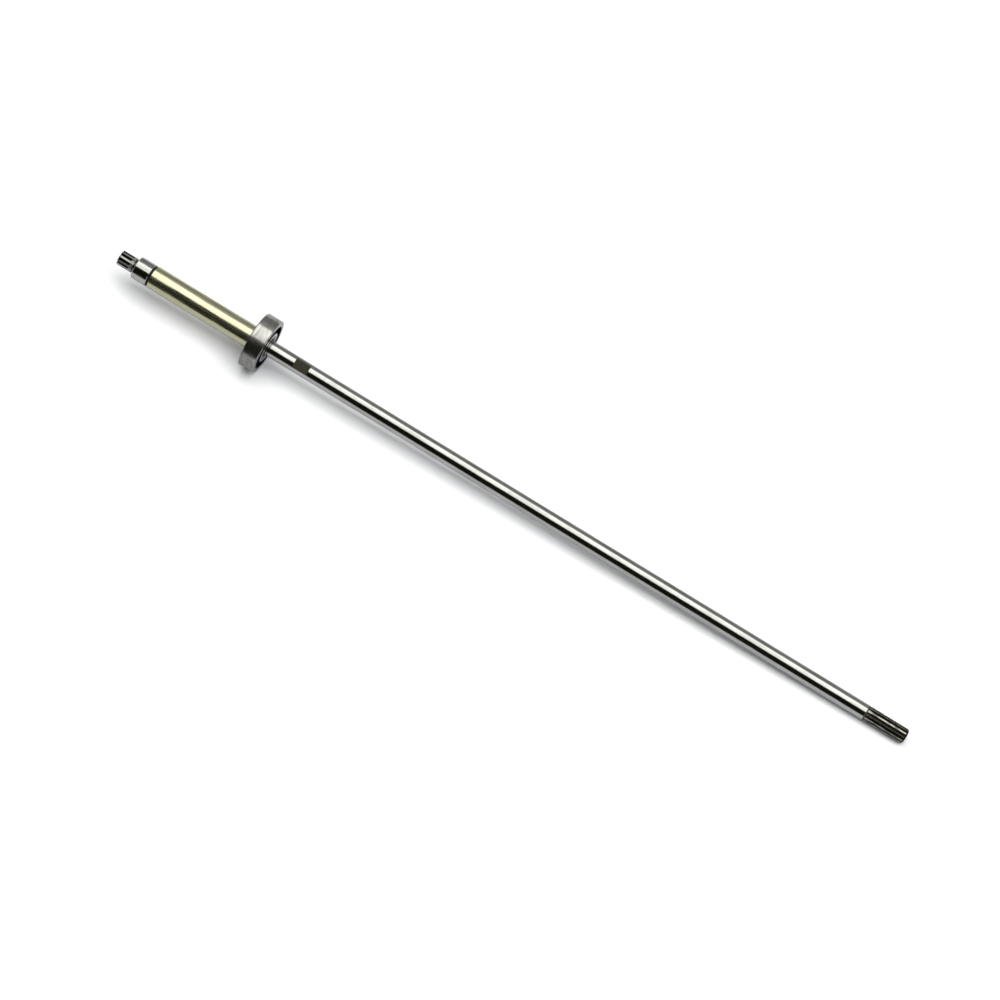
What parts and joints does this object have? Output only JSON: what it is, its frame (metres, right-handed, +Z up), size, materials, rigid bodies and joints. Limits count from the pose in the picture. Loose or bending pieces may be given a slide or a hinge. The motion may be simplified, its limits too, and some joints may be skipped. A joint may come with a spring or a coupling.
{
  "type": "drive shaft",
  "caption": "Long splined steel drive shaft with a pressed-on open ball bearing, a plated spacer sleeve, a journal collar and a flat for an impeller key.",
  "frame": {"origin": "centre of the ball bearing, on the shaft axis", "axes": "+X along the shaft from the pinion end to the crank end, +Z up, with the shaft lying level"},
  "size_m": [0.7294, 0.047, 0.047],
  "materials": {
    "shaft_steel": "ground",
    "shim_black": "black oxide",
    "sleeve_zinc": "yellow zinc",
    "ring_steel": "ground",
    "cage_steel": "pressed",
    "ball_steel": "polished"
  },
  "bodies": {
    "bearing_outer": {"bearing_outer_ring": "ring_steel"},
    "shaft": {"drive_shaft": "shaft_steel", "shim_ring": "shim_black", "spacer_sleeve": "sleeve_zinc", "bearing_inner_ring": "ring_steel"},
    "ball_cage": {"cage_front": "cage_steel", "cage_rear": "cage_steel", "cage_rivets": "cage_steel"},
    "ball_1_body": {"ball_1": "ball_steel"},
    "ball_2_body": {"ball_2": "ball_steel"},
    "ball_3_body": {"ball_3": "ball_steel"},
    "ball_4_body": {"ball_4": "ball_steel"},
    "ball_5_body": {"ball_5": "ball_steel"},
    "ball_6_body": {"ball_6": "ball_steel"},
    "ball_7_body": {"ball_7": "ball_steel"}
  },
  "joints": [
    {"name": "shaft_spin", "type": "hinge", "parent": "bearing_outer", "child": "shaft", "pos_m": [0, 0, 0], "axis": [1, 0, 0], "continuous": true},
    {"name": "cage_spin", "type": "hinge", "parent": "bearing_outer", "child": "ball_cage", "pos_m": [0, 0, 0], "axis": [1, 0, 0], "continuous": true},
    {"name": "ball_1_spin", "type": "hinge", "parent": "ball_cage", "child": "ball_1_body", "pos_m": [0, -0.01251, 0.00998], "axis": [1, 0, 0], "continuous": true},
    {"name": "ball_2_spin", "type": "hinge", "parent": "ball_cage", "child": "ball_2_body", "pos_m": [0, -0.0156, -0.00356], "axis": [1, 0, 0], "continuous": true},
    {"name": "ball_3_spin", "type": "hinge", "parent": "ball_cage", "child": "ball_3_body", "pos_m": [0, -0.00694, -0.01442], "axis": [1, 0, 0], "continuous": true},
    {"name": "ball_4_spin", "type": "hinge", "parent": "ball_cage", "child": "ball_4_body", "pos_m": [0, 0.00694, -0.01442], "axis": [1, 0, 0], "continuous": true},
    {"name": "ball_5_spin", "type": "hinge", "parent": "ball_cage", "child": "ball_5_body", "pos_m": [0, 0.0156, -0.00356], "axis": [1, 0, 0], "continuous": true},
    {"name": "ball_6_spin", "type": "hinge", "parent": "ball_cage", "child": "ball_6_body", "pos_m": [0, 0.01251, 0.00998], "axis": [1, 0, 0], "continuous": true},
    {"name": "ball_7_spin", "type": "hinge", "parent": "ball_cage", "child": "ball_7_body", "pos_m": [0, 0, 0.016], "axis": [1, 0, 0], "continuous": true}
  ],
  "couplings": [
    {"joint": "cage_spin", "follows": "shaft_spin", "ratio": 0.36359},
    {"joint": "ball_1_spin", "follows": "shaft_spin", "ratio": -1.6964},
    {"joint": "ball_2_spin", "follows": "shaft_spin", "ratio": -1.6964},
    {"joint": "ball_3_spin", "follows": "shaft_spin", "ratio": -1.6964},
    {"joint": "ball_4_spin", "follows": "shaft_spin", "ratio": -1.6964},
    {"joint": "ball_5_spin", "follows": "shaft_spin", "ratio": -1.6964},
    {"joint": "ball_6_spin", "follows": "shaft_spin", "ratio": -1.6964},
    {"joint": "ball_7_spin", "follows": "shaft_spin", "ratio": -1.6964}
  ]
}
